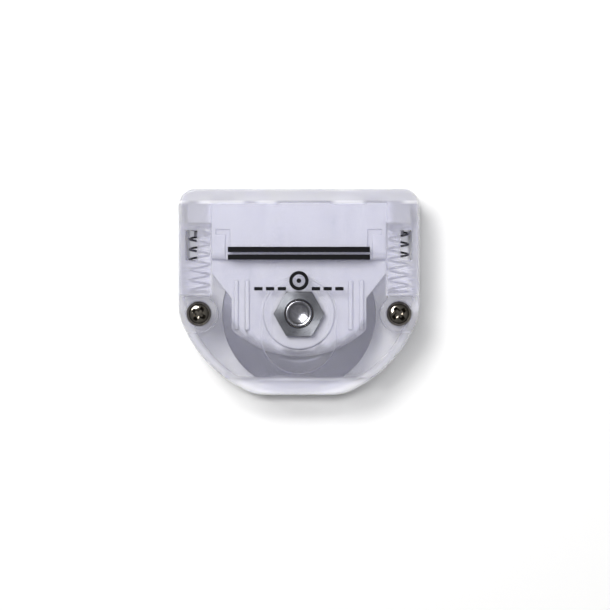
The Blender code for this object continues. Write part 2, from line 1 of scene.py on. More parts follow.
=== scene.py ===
"""Looks of the scoring-wheel cartridge, on a white table under soft studio light.

Lengths are in metres. The casing lies on its back: +Y is its top edge and +Z leaves its front face.
"""

import math

import bmesh
import bpy
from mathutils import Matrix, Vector


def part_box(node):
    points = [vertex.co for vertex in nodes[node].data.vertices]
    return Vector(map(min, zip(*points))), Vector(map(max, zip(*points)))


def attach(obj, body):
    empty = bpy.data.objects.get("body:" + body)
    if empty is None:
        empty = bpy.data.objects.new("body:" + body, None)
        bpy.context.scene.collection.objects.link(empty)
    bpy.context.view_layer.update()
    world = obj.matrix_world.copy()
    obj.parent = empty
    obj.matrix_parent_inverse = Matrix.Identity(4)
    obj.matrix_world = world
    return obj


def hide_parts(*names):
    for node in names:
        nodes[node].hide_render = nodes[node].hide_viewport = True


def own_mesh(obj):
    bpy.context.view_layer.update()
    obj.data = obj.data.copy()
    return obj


MM = 0.001

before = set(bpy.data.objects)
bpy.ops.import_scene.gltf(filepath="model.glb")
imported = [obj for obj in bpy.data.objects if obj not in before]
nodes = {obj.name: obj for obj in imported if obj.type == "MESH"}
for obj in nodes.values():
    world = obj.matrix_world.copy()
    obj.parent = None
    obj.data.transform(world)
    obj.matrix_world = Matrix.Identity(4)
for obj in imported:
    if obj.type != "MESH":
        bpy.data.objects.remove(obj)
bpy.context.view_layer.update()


# ---------------------------------------------------------------- material helpers

def new_material(name):
    material = bpy.data.materials.new(name)
    material.use_nodes = True
    tree = material.node_tree
    return material, tree, tree.nodes["Principled BSDF"]


def object_position(tree, scale=(1, 1, 1), shift=(0, 0, 0)):
    """Position on the piece, in metres times a scale, so a pattern stays with a moving piece."""
    place = tree.nodes.new("ShaderNodeTexCoord")
    mapping = tree.nodes.new("ShaderNodeMapping")
    mapping.inputs["Scale"].default_value = scale
    mapping.inputs["Location"].default_value = shift
    tree.links.new(place.outputs["Object"], mapping.inputs["Vector"])
    return mapping.outputs["Vector"]


def noise(tree, vector, scale, detail=3.0, roughness=0.5):
    texture = tree.nodes.new("ShaderNodeTexNoise")
    texture.inputs["Scale"].default_value = scale
    texture.inputs["Detail"].default_value = detail
    texture.inputs["Roughness"].default_value = roughness
    tree.links.new(vector, texture.inputs["Vector"])
    return texture.outputs["Fac"]


def ramp(tree, factor, low, high, start=0.3, end=0.7):
    """Turns a 0 to 1 factor into colours or grey values."""
    node = tree.nodes.new("ShaderNodeValToRGB")
    node.color_ramp.elements[0].position = start
    node.color_ramp.elements[1].position = end
    node.color_ramp.elements[0].color = (*low, 1) if isinstance(low, tuple) else (low, low, low, 1)
    node.color_ramp.elements[1].color = (*high, 1) if isinstance(high, tuple) else (high, high, high, 1)
    tree.links.new(factor, node.inputs["Fac"])
    return node.outputs["Color"]


def math_node(tree, operation, first, second):
    node = tree.nodes.new("ShaderNodeMath")
    node.operation = operation
    for socket, value in zip(node.inputs, (first, second)):
        if isinstance(value, (int, float)):
            socket.default_value = value
        else:
            tree.links.new(value, socket)
    return node.outputs["Value"]


def bump(tree, shader, height, strength, distance):
    node = tree.nodes.new("ShaderNodeBump")
    node.inputs["Strength"].default_value = strength
    node.inputs["Distance"].default_value = distance
    tree.links.new(height, node.inputs["Height"])
    tree.links.new(node.outputs["Normal"], shader.inputs["Normal"])


def axis_value(tree, vector, axis):
    split = tree.nodes.new("ShaderNodeSeparateXYZ")
    tree.links.new(vector, split.inputs["Vector"])
    return split.outputs[axis]


def rise_between(tree, value, low, high):
    """0 below the first value, 1 above the second, and smooth between them."""
    node = tree.nodes.new("ShaderNodeMapRange")
    node.interpolation_type = "SMOOTHSTEP"
    node.inputs["From Min"].default_value = low
    node.inputs["From Max"].default_value = high
    tree.links.new(value, node.inputs["Value"])
    return node.outputs["Result"]


def weighted_sum(tree, zones, weights):
    """Adds up the zones named in the weights, each times its weight."""
    total = None
    for zone, weight in weights.items():
        part = math_node(tree, "MULTIPLY", zones[zone], weight)
        total = part if total is None else math_node(tree, "ADD", total, part)
    return total


def distance(tree, x, y):
    squares = math_node(tree, "ADD", math_node(tree, "POWER", x, 2), math_node(tree, "POWER", y, 2))
    return math_node(tree, "SQRT", squares, 0)


def translucent(shader, weight, scale):
    """Lets light spread inside a plastic wall and come out at its other side."""
    shader.inputs["Subsurface Weight"].default_value = weight
    shader.inputs["Subsurface Radius"].default_value = SPREAD_TINT
    shader.inputs["Subsurface Scale"].default_value = scale
    shader.inputs["IOR"].default_value = PLASTIC_IOR


def clear_plastic(name, dark, pale, seen_flat, seen_nut, steep_haze, chamber_glow=0.0):
    """Smoky clear moulding. It is denser where light runs along a wall, over the spring chambers
    and in the sole bar, and thin and clear over the nut. A chamber lift stands for the light that
    wanders through the walls into the spring chambers. A moulding without one lets lamp light in."""
    material, tree, shader = new_material(name)
    vector = object_position(tree)
    cloud = noise(tree, vector, CLOUD_SCALE, 2)
    geometry = tree.nodes.new("ShaderNodeNewGeometry")
    upright = math_node(tree, "ABSOLUTE", axis_value(tree, geometry.outputs["Normal"], "Z"), 0)
    steep = math_node(tree, "SUBTRACT", 1, rise_between(tree, upright, *STEEP_RANGE))
    fine = noise(tree, vector, GLOSS_SCALE, 4)
    tree.links.new(ramp(tree, fine, *CLEAR_ROUGHNESS), shader.inputs["Roughness"])
    bump(tree, shader, noise(tree, vector, RIPPLE_SCALE, 2), RIPPLE_STRENGTH, RIPPLE_DEPTH)

    about = object_position(tree, shift=(-AXLE.x, -AXLE.y, 0))
    wide = math_node(tree, "ABSOLUTE", axis_value(tree, about, "X"), 0)
    up = axis_value(tree, about, "Y")
    past_travel = math_node(tree, "MINIMUM", math_node(tree, "ADD", up, NUT_TRAVEL), 0)
    down_channel = math_node(tree, "MAXIMUM", up, past_travel)
    nut_area = distance(tree, wide, down_channel)
    beyond_nut = rise_between(tree, nut_area, *NUT_EDGE)
    below_centre = math_node(tree, "MINIMUM", math_node(tree, "SUBTRACT", up, ROUND_Y), 0)
    round_area = distance(tree, wide, below_centre)
    below_top = math_node(tree, "SUBTRACT", 1, rise_between(tree, up, *CHAMBER_TOP))
    height = math_node(tree, "MULTIPLY", rise_between(tree, up, *CHAMBER_BOTTOM), below_top)
    wing = rise_between(tree, wide, *CHAMBER_INNER)
    chamber = math_node(tree, "MULTIPLY", wing, height)
    wavy = math_node(tree, "ADD", up, math_node(tree, "MULTIPLY", cloud, SOLE_WAVE))
    band = rise_between(tree, up, *TOP_WALL)
    above_chamber = math_node(tree, "SUBTRACT", 1, math_node(tree, "ADD", below_top, band))
    corner = math_node(tree, "MULTIPLY", wing, above_chamber)
    wall = rise_between(tree, round_area, *ROUND_WALL)
    # Painted highlight: a broken pale, denser line along the underside of the top wall, where the
    # carriage's top edge catches the light.
    along = noise(tree, object_position(tree, ALONG_TOP), HIGHLIGHT_LINE_SCALE, 1)
    below_line = math_node(tree, "SUBTRACT", 1, rise_between(tree, up, *HIGHLIGHT_LINE_TOP))
    line = math_node(tree, "MULTIPLY", rise_between(tree, up, *HIGHLIGHT_LINE_BOTTOM), below_line)
    painted_highlight = math_node(tree, "MULTIPLY", line, rise_between(tree, along, *HIGHLIGHT_LINE_BREAKS))
    sole = math_node(tree, "SUBTRACT", 1, rise_between(tree, wavy, *SOLE_BAR))
    zones = {
        "cloud": cloud, "steep": steep, "chamber": chamber, "band": band, "corner": corner,
        "painted_highlight": painted_highlight, "wall": wall, "sole": sole,
    }
    dense = weighted_sum(tree, zones, {**HAZE, "steep": steep_haze})
    tone = weighted_sum(tree, zones, PALENESS)
    tree.links.new(ramp(tree, tone, dark, pale, *PALENESS_RANGE), shader.inputs["Base Color"])
    flat = math_node(tree, "ADD", seen_nut, math_node(tree, "MULTIPLY", beyond_nut, seen_flat - seen_nut))
    alpha = math_node(tree, "MINIMUM", math_node(tree, "ADD", flat, dense), MOST_SEEN)
    # Painted glow: a faint emission over the spring chambers that brightens them as spread light would. The
    # moulding glows there though it is no lamp.
    if chamber_glow:
        inside = math_node(tree, "SUBTRACT", 1, rise_between(tree, wide, *CHAMBER_OUTER))
        painted_glow = math_node(tree, "MULTIPLY", math_node(tree, "MULTIPLY", chamber, inside), chamber_glow)
        shader.inputs["Emission Color"].default_value = (*pale, 1)
        tree.links.new(painted_glow, shader.inputs["Emission Strength"])
    else:
        paths = tree.nodes.new("ShaderNodeLightPath")
        held_back = math_node(tree, "MULTIPLY", steep, STEEP_HOLDS_BACK)
        share = math_node(tree, "SUBTRACT", FLAT_LETS_THROUGH, held_back)
        passed = math_node(tree, "MULTIPLY", paths.outputs["Is Shadow Ray"], share)
        alpha = math_node(tree, "MULTIPLY", alpha, math_node(tree, "SUBTRACT", 1, passed))
    tree.links.new(alpha, shader.inputs["Alpha"])
    translucent(shader, CLEAR_SPREAD, CLEAR_SPREAD_DEPTH)
    return material


def frosted_plastic(name, dark, pale, seen):
    """Milky moulding with a finely etched skin and faint flow marks."""
    material, tree, shader = new_material(name)
    vector = object_position(tree)
    flow = noise(tree, object_position(tree, FLOW_STRETCH), FLOW_SCALE, 3)
    # Painted shade: the carriage's colour darkens towards its round lower edge, as if light fell off there.
    # The darkest ramp colour is reached only in this painted shade.
    about = object_position(tree, shift=(-AXLE.x, -AXLE.y - BELLY_Y, 0))
    below_centre = math_node(tree, "MINIMUM", axis_value(tree, about, "Y"), 0)
    reach = distance(tree, axis_value(tree, about, "X"), below_centre)
    edge = rise_between(tree, reach, *BELLY_SHADE_SPAN)
    tone = math_node(tree, "SUBTRACT", flow, math_node(tree, "MULTIPLY", edge, BELLY_PAINTED_SHADE))
    colours = tree.nodes.new("ShaderNodeValToRGB")
    colours.color_ramp.elements[0].position = 0.0
    colours.color_ramp.elements[1].position = FLOW_RANGE[1]
    colours.color_ramp.elements[0].color = (*[0.5 * value for value in dark], 1)
    colours.color_ramp.elements[1].color = (*pale, 1)
    colours.color_ramp.elements.new(FLOW_RANGE[0]).color = (*dark, 1)
    tree.links.new(tone, colours.inputs["Fac"])
    tree.links.new(colours.outputs["Color"], shader.inputs["Base Color"])
    fine = noise(tree, vector, ETCH_SCALE, 4)
    tree.links.new(ramp(tree, fine, *FROST_ROUGHNESS), shader.inputs["Roughness"])
    bump(tree, shader, fine, ETCH_STRENGTH, ETCH_DEPTH)
    shader.inputs["Alpha"].default_value = seen
    translucent(shader, FROST_SPREAD, FROST_SPREAD_DEPTH)
    return material


def metal(name, dark, bright, rough_low, rough_high, grain, depth):
    """Metal with a fine, even grain."""
    material, tree, shader = new_material(name)
    fine = noise(tree, object_position(tree), grain, 5)
    tree.links.new(ramp(tree, fine, dark, bright), shader.inputs["Base Color"])
    tree.links.new(ramp(tree, fine, rough_low, rough_high), shader.inputs["Roughness"])
    shader.inputs["Metallic"].default_value = 1
    bump(tree, shader, fine, GRAIN_STRENGTH, depth)
    return material


def turned_metal(name, dark, bright, rough_low, rough_high, centre, pitch, depth, anisotropy):
    """Metal faced on a lathe: fine rings about a centre, with a sheen across them."""
    material, tree, shader = new_material(name)
    vector = object_position(tree, shift=(-centre.x, -centre.y, 0))
    flat = tree.nodes.new("ShaderNodeVectorMath")
    flat.operation = "MULTIPLY"
    flat.inputs[1].default_value = (1, 1, 0)
    tree.links.new(vector, flat.inputs[0])
    length = tree.nodes.new("ShaderNodeVectorMath")
    length.operation = "LENGTH"
    tree.links.new(flat.outputs["Vector"], length.inputs[0])
    steps = math_node(tree, "DIVIDE", length.outputs["Value"], pitch)
    line = tree.nodes.new("ShaderNodeCombineXYZ")
    tree.links.new(steps, line.inputs["X"])
    rings = noise(tree, line.outputs["Vector"], 1.0, 4, RING_ROUGHNESS)
    cloud = noise(tree, vector, STAIN_SCALE, 3)
    mixed = weighted_sum(tree, {"rings": rings, "cloud": cloud}, RING_SHARES)
    tree.links.new(ramp(tree, mixed, dark, bright, *RING_RANGE), shader.inputs["Base Color"])
    tree.links.new(ramp(tree, mixed, rough_low, rough_high), shader.inputs["Roughness"])
    shader.inputs["Metallic"].default_value = 1
    shader.inputs["Anisotropic"].default_value = anisotropy
    shader.inputs["Anisotropic Rotation"].default_value = QUARTER_TURN
    tangent = tree.nodes.new("ShaderNodeTangent")
    tangent.direction_type = "RADIAL"
    tangent.axis = "Z"
    tree.links.new(tangent.outputs["Tangent"], shader.inputs["Tangent"])
    bump(tree, shader, rings, RING_STRENGTH, depth)
    return material


def ink(name, dark, pale, rough_low, rough_high, specular):
    material, tree, shader = new_material(name)
    fine = noise(tree, object_position(tree), INK_GRAIN, 3)
    tree.links.new(ramp(tree, fine, dark, pale), shader.inputs["Base Color"])
    tree.links.new(ramp(tree, fine, rough_low, rough_high), shader.inputs["Roughness"])
    shader.inputs["Specular IOR Level"].default_value = specular
    return material


# ---------------------------------------------------------------- places taken from the frame

def middle(node):
    low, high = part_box(node)
    return Vector([(a + b) / 2 for a, b in zip(low, high)])


FACE_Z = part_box("front_shell")[1][2]
AXLE = middle("axle_nut")
WHEEL_LEVEL = middle("scoring_wheel").z

# Levels of flat faces in the CAD
WEB_HIGH = 9.6 * MM         # carriage round the hub
HUB_HIGH = 10.15 * MM
BLOCK_HIGH = 11.4 * MM      # carriage's upper block
CHANNEL_HIGH = 11.7 * MM    # underside of the front plate

# Zones of the clear mouldings, as the two places where each starts and is full, from the axle
NUT_EDGE = (4.5 * MM, 5.6 * MM)
NUT_TRAVEL = 2.4 * MM       # how far down the clear area over the nut goes
CHAMBER_BOTTOM = (3.0 * MM, 3.6 * MM)
CHAMBER_TOP = (15.4 * MM, 16.8 * MM)
CHAMBER_INNER = (15.7 * MM, 16.2 * MM)
CHAMBER_OUTER = (19.8 * MM, 20.2 * MM)
TOP_WALL = (19.9 * MM, 20.6 * MM)
ROUND_Y = 6.8 * MM          # centre of the casing's round lower end, above the axle
ROUND_WALL = (20.9 * MM, 21.9 * MM)
SOLE_BAR = (-12.1 * MM, -10.2 * MM)
SOLE_WAVE = 1.6 * MM
# Painted highlight: where the broken pale line under the top wall starts and ends, and where it breaks.
HIGHLIGHT_LINE_BOTTOM = (19.7 * MM, 19.95 * MM)
HIGHLIGHT_LINE_TOP = (20.25 * MM, 20.5 * MM)
HIGHLIGHT_LINE_BREAKS = (0.46, 0.56)
HIGHLIGHT_LINE_SCALE = 170
ALONG_TOP = (1, 0.1, 0.1)
STEEP_RANGE = (0.3, 0.97)   # a face's upright share, from a wall's to a plate's

# What each zone adds to the moulding's haze, and how much paler it makes it
# The painted highlight zone adds haze and paleness for the bright line under the top wall.
HAZE = {"chamber": 0.22, "band": 0.34, "corner": 0.12, "painted_highlight": 0.30, "wall": 0.14, "sole": 0.42}
PALENESS = {
    "cloud": 0.4, "steep": 0.4, "band": 0.35, "corner": 0.2, "painted_highlight": 0.4, "wall": 0.25, "sole": 0.25,
}
PALENESS_RANGE = (0.15, 0.8)
MOST_SEEN = 0.9
FLAT_LETS_THROUGH = 0.85    # the share of a plate's haze that lamp light doesn't meet
STEEP_HOLDS_BACK = 0.80     # taken off that share on a wall

# Surfaces
PLASTIC_IOR = 1.5
SPREAD_TINT = (1.0, 1.0, 1.15)
CLOUD_SCALE = 90
GLOSS_SCALE = 1500
CLEAR_ROUGHNESS = (0.07, 0.15)
RIPPLE_SCALE = 260
RIPPLE_STRENGTH = 0.12
RIPPLE_DEPTH = 0.04 * MM
CLEAR_SPREAD = 0.8
CLEAR_SPREAD_DEPTH = 3 * MM
FLOW_STRETCH = (1, 0.25, 1)
FLOW_SCALE = 420
FLOW_RANGE = (0.3, 0.7)
ETCH_SCALE = 2600
ETCH_STRENGTH = 0.25
ETCH_DEPTH = 0.02 * MM
FROST_ROUGHNESS = (0.32, 0.48)
FROST_SPREAD = 0.7
FROST_SPREAD_DEPTH = 1.5 * MM
BELLY_Y = 9.8 * MM          # centre of the carriage's round lower edge, above the axle
# Painted shade towards the carriage's round lower edge: where it starts and is full, and how much it
# darkens.
BELLY_SHADE_SPAN = (15.0 * MM, 17.8 * MM)
BELLY_PAINTED_SHADE = 0.75
GRAIN_STRENGTH = 0.3
RING_SHARES = {"rings": 0.65, "cloud": 0.35}
RING_RANGE = (0.35, 0.65)
RING_ROUGHNESS = 0.7
RING_STRENGTH = 0.35
STAIN_SCALE = 700
QUARTER_TURN = 0.25
INK_GRAIN = 9000

CLEAR = clear_plastic(
    "clear_casing_look", (0.62, 0.62, 0.74), (0.88, 0.88, 0.97), seen_flat=0.15, seen_nut=0.02,
    steep_haze=0.42,
)
CLEAR_BACK = clear_plastic(
    "clear_back_look", (0.84, 0.84, 0.93), (0.94, 0.94, 0.99), seen_flat=0.66, seen_nut=0.66,
    steep_haze=0.08, chamber_glow=0.22,
)
FROST = frosted_plastic("frosted_carriage_look", (0.55, 0.55, 0.63), (0.62, 0.62, 0.695), seen=0.88)
WHEEL = turned_metal(
    "wheel_steel_look", (0.06, 0.06, 0.08), (0.11, 0.11, 0.14), 0.3, 0.45, AXLE, 0.25 * MM, 0.01 * MM, 0.4
)
NICKEL = metal("nickel_look", (0.15, 0.138, 0.118), (0.28, 0.255, 0.22), 0.06, 0.13, 900, 0.01 * MM)
ZINC = turned_metal(
    "zinc_look", (0.115, 0.12, 0.137), (0.23, 0.237, 0.257), 0.24, 0.36, AXLE, 0.12 * MM, 0.02 * MM, 0.7
)
AXLE_STEEL = metal("axle_steel_look", (0.24, 0.24, 0.27), (0.36, 0.36, 0.39), 0.14, 0.22, 1800, 0.01 * MM)
PLAIN_ZINC = metal("plain_zinc_look", (0.44, 0.45, 0.49), (0.60, 0.61, 0.65), 0.3, 0.4, 1800, 0.02 * MM)
WIRE = metal("spring_wire_look", (0.10, 0.10, 0.11), (0.20, 0.20, 0.22), 0.2, 0.32, 2500, 0.01 * MM)
BRONZE = metal("bronze_look", (0.45, 0.32, 0.17), (0.58, 0.43, 0.25), 0.35, 0.5, 2500, 0.02 * MM)
INK = ink("black_ink", (0.001, 0.001, 0.002), (0.005, 0.005, 0.007), 0.5, 0.65, specular=0.12)

LOOKS = {
    "wheel_bush": BRONZE, "rear_spacer": PLAIN_ZINC, "front_spacer": PLAIN_ZINC,
    "dowel_left": PLAIN_ZINC, "dowel_right": PLAIN_ZINC,
}
for node_name, look in LOOKS.items():
    for slot in nodes[node_name].material_slots:
        slot.material = look


# ---------------------------------------------------------------- helpers for pieces

SMOOTH_ANGLE = 50
NUT_SMOOTH_ANGLE = 12
FLAT_ANGLE = 0.4            # faces closer than this are one face
HARD_ANGLE = 28             # edges sharper than this are rounded
SAME = MM / 1000


def finish_piece(piece, material, body, replaced=()):
    piece.data.materials.clear()
    piece.data.materials.append(material)
    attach(piece, body)
    if replaced:
        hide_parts(*replaced)
    return piece


def mesh_piece(name, bm, smooth=True):
    bmesh.ops.recalc_face_normals(bm, faces=bm.faces)
    mesh = bpy.data.meshes.new(name)
    bm.to_mesh(mesh)
    bm.free()
    if smooth:
        mesh.shade_smooth()
        mesh.set_sharp_from_angle(angle=math.radians(SMOOTH_ANGLE))
    piece = bpy.data.objects.new(name, mesh)
    bpy.context.collection.objects.link(piece)
    return piece


def prism(outline, low, high, taper=1.0, centre=(0, 0)):
    """A flat outline made solid between two levels, narrowed about a centre at its lower end."""
    bm = bmesh.new()
    base = bm.faces.new([bm.verts.new((x, y, high)) for x, y in outline])
    lifted = bmesh.ops.extrude_face_region(bm, geom=[base])["geom"]
    for v in lifted:
        if isinstance(v, bmesh.types.BMVert):
            v.co.x = centre[0] + (v.co.x - centre[0]) * taper
            v.co.y = centre[1] + (v.co.y - centre[1]) * taper
            v.co.z = low
    return bm


def turned(profile, segments, centre):
    """A profile of (radius, level) pairs spun about a vertical axis through a centre."""
    bm = bmesh.new()
    points = [bm.verts.new((radius, 0, level)) for radius, level in profile]
    edges = [bm.edges.new(pair) for pair in zip(points, points[1:])]
    if profile[0][0] > 0:
        edges.append(bm.edges.new((points[-1], points[0])))
    bmesh.ops.spin(
        bm, geom=points + edges, cent=(0, 0, 0), axis=(0, 0, 1), angle=math.tau, steps=segments
    )
    bmesh.ops.remove_doubles(bm, verts=bm.verts, dist=SAME)
    bmesh.ops.translate(bm, vec=(centre.x, centre.y, 0), verts=bm.verts)
    return bm


def fillet(corner, radius, start, end, steps=4):
    """Points of a rounded corner. Its arc's centre is given, and its angles are in degrees."""
    turns = [math.radians(start + (end - start) * n / steps) for n in range(steps + 1)]
    return [(corner[0] + radius * math.cos(t), corner[1] + radius * math.sin(t)) for t in turns]


def apply_cut(piece, bm, operation="DIFFERENCE", angle=SMOOTH_ANGLE):
    tool = mesh_piece(f"{piece.name}_tool", bm, smooth=False)
    change = piece.modifiers.new("cut", "BOOLEAN")
    change.operation = operation
    change.object = tool
    graph = bpy.context.evaluated_depsgraph_get()
    result = bpy.data.meshes.new_from_object(piece.evaluated_get(graph))
    piece.modifiers.clear()
    piece.data = result
    bpy.data.objects.remove(tool, do_unlink=True)
    result.shade_smooth()
    result.set_sharp_from_angle(angle=math.radians(angle))


def softened(node, name, width, material, body, broad=()):
    """A moulded piece with all its hard edges rounded, in the place of its plain CAD solid.
    Each broad entry is a wider rounding and a test for the edges that get it."""
    bm = bmesh.new()
    bm.from_mesh(nodes[node].data)
    bmesh.ops.remove_doubles(bm, verts=bm.verts, dist=SAME)
    bmesh.ops.dissolve_limit(bm, angle_limit=math.radians(FLAT_ANGLE), verts=bm.verts, edges=bm.edges)
    for reach, chosen in broad:
        wide = [e for e in bm.edges if e.is_convex and all(chosen(v.co) for v in e.verts)]
        bmesh.ops.bevel(
            bm, geom=wide, offset=reach, segments=6, profile=0.5, affect="EDGES", clamp_overlap=False
        )
    hard = [e for e in bm.edges if e.is_manifold and e.calc_face_angle(0) > math.radians(HARD_ANGLE)]
    bmesh.ops.bevel(
        bm, geom=hard, offset=width, segments=3, profile=0.5, affect="EDGES", clamp_overlap=False
    )
    piece = mesh_piece(name, bm)
    weight = piece.modifiers.new("even_shading", "WEIGHTED_NORMAL")
    weight.keep_sharp = True
    return finish_piece(piece, material, body, [node])


# ---------------------------------------------------------------- moulded pieces

NEAR = 0.02 * MM
CHANNEL_Y = -4.0 * MM       # the nut's channel runs below this, from the axle
BELLY_TOP = -4.4 * MM       # the carriage's round lower edge is below this
HUB_INSIDE = 5.0 * MM       # the hub's rim is outside this
STEP_Y = 9.8 * MM           # lower edge of the carriage's upper block

CASING_EDGE = 0.10 * MM
CARRIAGE_EDGE = 0.12 * MM
CHANNEL_ROUND = 0.3 * MM
BELLY_ROUND = 1.05 * MM
HUB_ROUND = 0.35 * MM
STEP_ROUND = 1.4 * MM


def near(value, target):
    return abs(value - target) < NEAR


def on_channel(point):
    return near(point.z, CHANNEL_HIGH) and point.y < AXLE.y + CHANNEL_Y


def on_belly(point):
    return near(point.z, WEB_HIGH) and point.y < AXLE.y + BELLY_TOP


def on_hub(point):
    return near(point.z, HUB_HIGH) and (point.xy - AXLE.xy).length > HUB_INSIDE


def on_step(point):
    return near(point.z, BLOCK_HIGH) and near(point.y, AXLE.y + STEP_Y)


softened(
    "front_shell", "front_shell_moulding", CASING_EDGE, CLEAR, "casing",
    [(CHANNEL_ROUND, on_channel)],
)
softened("rear_shell", "rear_shell_moulding", CASING_EDGE, CLEAR_BACK, "casing")
softened(
    "carriage_front", "carriage_front_moulding", CARRIAGE_EDGE, FROST, "carriage",
    [(BELLY_ROUND, on_belly), (HUB_ROUND, on_hub), (STEP_ROUND, on_step)],
)
softened("carriage_back", "carriage_back_moulding", CARRIAGE_EDGE, FROST, "carriage")


# ---------------------------------------------------------------- wheel, axle and nut

FINE_TURNS = 144


def scoring_wheel():
    low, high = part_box("scoring_wheel")
    radius = (high[0] - low[0]) / 2
    bush_low, bush_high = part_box("wheel_bush")
    bush_gap = 0.08 * MM
    bore = (bush_high[0] - bush_low[0]) / 2 + bush_gap
    edge = 0.35 * MM
    tread_angle = 75
    flat = 9.0 * MM
    groove = 0.12 * MM
    rims = (6.0 * MM, 8.2 * MM)
    tread = fillet((radius - edge, WHEEL_LEVEL), edge, -tread_angle, tread_angle, 10)
    under = [(bore + groove, low[2]), (flat, low[2])]
    over = [(flat, high[2])]
    for ring in reversed(rims):
        over += [(ring + groove, high[2]), (ring, high[2] - groove), (ring - groove, high[2])]
    over += [(bore + groove, high[2]), (bore, high[2] - groove), (bore, low[2] + groove)]
    bm = turned(under + tread + over, FINE_TURNS, AXLE)
    finish_piece(mesh_piece("wheel_disc", bm), WHEEL, "wheel", ["scoring_wheel"])


def axle():
    low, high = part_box("axle_bolt")
    head = (high[0] - low[0]) / 2
    radius = 2.4 * MM
    head_high = low[2] + 1.2 * MM
    tip = high[2]
    round_over = 0.3 * MM
    tip_round = 0.15 * MM
    cup = 1.75 * MM
    cup_depth = 0.40 * MM
    lip = 0.15 * MM
    lip_depth = 0.12 * MM
    profile = [(0, low[2])]
    profile += fillet((head - round_over, low[2] + round_over), round_over, -90, 0)
    profile += [(head, head_high), (radius, head_high)]
    profile += fillet((radius - tip_round, tip - tip_round), tip_round, 0, 90)
    profile += [(cup + lip, tip), (cup, tip - lip_depth)]
    steps = 12
    for n in range(1, steps + 1):
        share = 1 - n / steps
        profile.append((cup * share, tip - lip_depth - (cup_depth - lip_depth) * (1 - share ** 2)))
    bm = turned(profile, FINE_TURNS, AXLE)
    finish_piece(mesh_piece("axle_bolt_turned", bm), AXLE_STEEL, "carriage", ["axle_bolt"])


def nut():
    low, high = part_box("axle_nut")
    flats = (high[1] - low[1]) / 2
    corner = (high[0] - low[0]) / 2
    sides = 6
    turns = [math.tau * n / sides for n in range(sides)]
    hexagon = [(AXLE.x + corner * math.cos(t), AXLE.y + corner * math.sin(t)) for t in turns]
    piece = mesh_piece("axle_nut_faced", prism(hexagon, low[2], high[2]), smooth=False)
    chamfer = 0.10 * MM
    cone = [(0, low[2] - MM), (flats - chamfer, low[2] - MM), (flats, low[2])]
    cone += [(corner + chamfer, low[2] + 2 * chamfer), (corner + chamfer, high[2] - chamfer)]
    cone += [(corner, high[2]), (corner, high[2] + MM), (0, high[2] + MM)]
    apply_cut(piece, turned(cone, FINE_TURNS, AXLE), "INTERSECT", NUT_SMOOTH_ANGLE)
    bore = 2.55 * MM
    flare = 0.2 * MM
    flare_depth = 0.15 * MM
    past_face = 0.05 * MM
    hole = [(0, low[2] - MM), (bore, low[2] - MM), (bore, high[2] - flare_depth)]
    hole += [(bore + flare, high[2] + past_face), (bore + flare, high[2] + MM), (0, high[2] + MM)]
    apply_cut(piece, turned(hole, FINE_TURNS, AXLE), angle=NUT_SMOOTH_ANGLE)
    finish_piece(piece, ZINC, "carriage", ["axle_nut"])


def casing_screw(word, spin):
    node = f"screw_{word}"
    low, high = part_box(node)
    centre = middle(node)
    head = (high[0] - low[0]) / 2
    top = high[2]
    seat = top - 1.35 * MM
    brim = 0.42 * MM
    brim_round = 0.1 * MM
    shank = 1.15 * MM
    point = 0.4 * MM
    point_length = 0.9 * MM
    fullness = 0.55             # below 1 makes the dome squarer than a ball
    dome = top - seat - brim
    profile = [(0, low[2]), (point, low[2]), (shank, low[2] + point_length), (shank, seat)]
    profile += fillet((head - brim_round, seat + brim_round), brim_round, -90, 0, 3)
    steps = 16
    for n in range(steps):
        turn = math.radians(90 * n / steps)
        profile.append((head * math.cos(turn) ** fullness, seat + brim + dome * math.sin(turn)))
    profile.append((0, top))
    piece = mesh_piece(f"{node}_cross_head", turned(profile, 96, centre))
    arm = 1.55 * MM
    half = 0.38 * MM
    inner = 0.60 * MM
    inner_across = 0.72 * inner
    depth = 1.0 * MM
    above = 0.15 * MM
    narrowing = 0.5
    outline = []
    for n in range(4):
        turn = math.radians(90 * n + spin)
        axis = Vector((math.cos(turn), math.sin(turn)))
        side = Vector((-axis.y, axis.x))
        for along, across in ((arm, -half), (arm, half), (inner, inner_across)):
            corner = axis * along + side * across
            outline.append((centre.x + corner.x, centre.y + corner.y))
    apply_cut(piece, prism(outline, top - depth, top + above, narrowing, centre.xy))
    finish_piece(piece, NICKEL, "casing", [node])


scoring_wheel()
axle()
nut()
casing_screw("left", spin=58)
casing_screw("right", spin=38)


# ---------------------------------------------------------------- return springs

def tube(points, radius, sides=10):
    """A round wire along a smooth run of points, closed at both ends."""
    bm = bmesh.new()
    loops = []
    for n, point in enumerate(points):
        ahead = points[min(n + 1, len(points) - 1)] - points[max(n - 1, 0)]
        ahead.normalize()
        out = ahead.cross(Vector((0, 1, 0))).normalized()
        up = out.cross(ahead)
        turns = [math.tau * k / sides for k in range(sides)]
        loops.append([bm.verts.new(point + (out * math.cos(t) + up * math.sin(t)) * radius) for t in turns])
    for first, second in zip(loops, loops[1:]):
        for k in range(sides):
            bm.faces.new((first[k], first[(k + 1) % sides], second[(k + 1) % sides], second[k]))
    bm.faces.new(list(reversed(loops[0])))
    bm.faces.new(loops[-1])
    return bm


